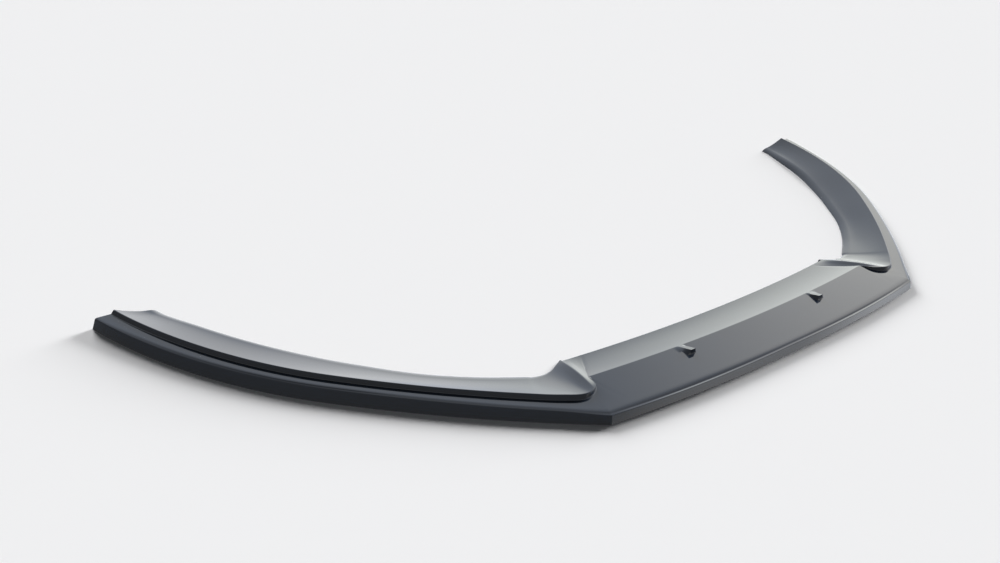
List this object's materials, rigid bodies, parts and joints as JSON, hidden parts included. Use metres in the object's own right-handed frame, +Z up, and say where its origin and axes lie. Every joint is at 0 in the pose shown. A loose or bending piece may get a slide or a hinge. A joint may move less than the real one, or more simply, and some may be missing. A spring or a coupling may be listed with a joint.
{
  "type": "front splitter lip",
  "caption": "Front splitter lip for a car bumper: a wide bowed blade with swept-back wings, a raised step and hollow inner slope along each wing, and a rear flange.",
  "frame": {"origin": "on the floor that the rim rests on, in the middle of the outline's length and width", "axes": "+X across the car to its left side, +Y to the rear of the car, +Z up"},
  "size_m": [1.8512, 0.6378, 0.0273],
  "materials": {
    "lip": "gloss black vacuum formed ABS"
  },
  "bodies": {
    "root": {"splitter_lip": "lip"}
  },
  "joints": []
}
